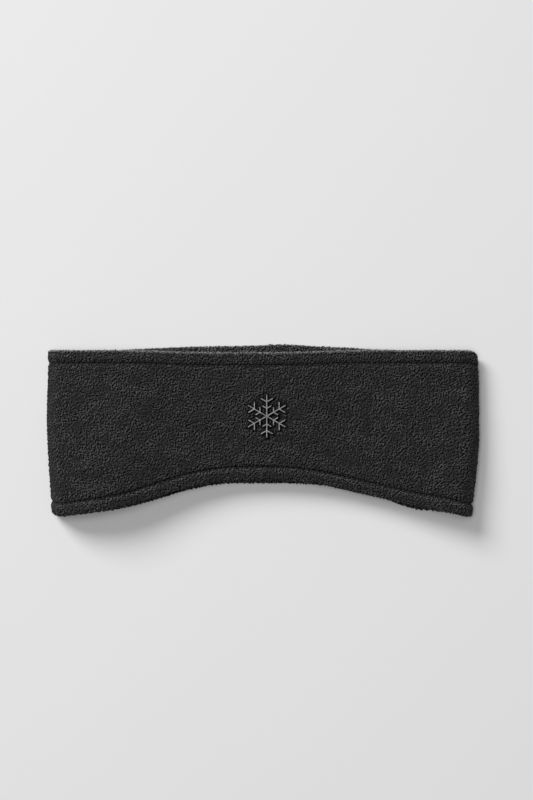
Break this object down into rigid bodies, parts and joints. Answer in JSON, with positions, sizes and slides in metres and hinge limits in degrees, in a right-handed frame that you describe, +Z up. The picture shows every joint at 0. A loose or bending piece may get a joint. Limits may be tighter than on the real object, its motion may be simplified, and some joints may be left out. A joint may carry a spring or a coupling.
{
  "type": "ear warmer headband",
  "caption": "Fleece ear warmer headband lying flat: a closed loop folded at both ears, with an arched lower edge, stitched hems and a raised snowflake on the front.",
  "frame": {"origin": "middle of the headband's bounding box, on the surface it lies on", "axes": "+X from the left ear fold to the right, +Y towards the upper edge, +Z up, out of the front"},
  "size_m": [0.25, 0.0992, 0.021],
  "materials": {
    "fleece": "curled, matt",
    "hem_fleece": "curled, matt, pressed by stitching",
    "satin_thread": "satin"
  },
  "bodies": {
    "root": {"ear_band": "fleece", "upper_hem": "hem_fleece", "lower_hem": "hem_fleece", "emblem": "satin_thread"}
  },
  "joints": []
}
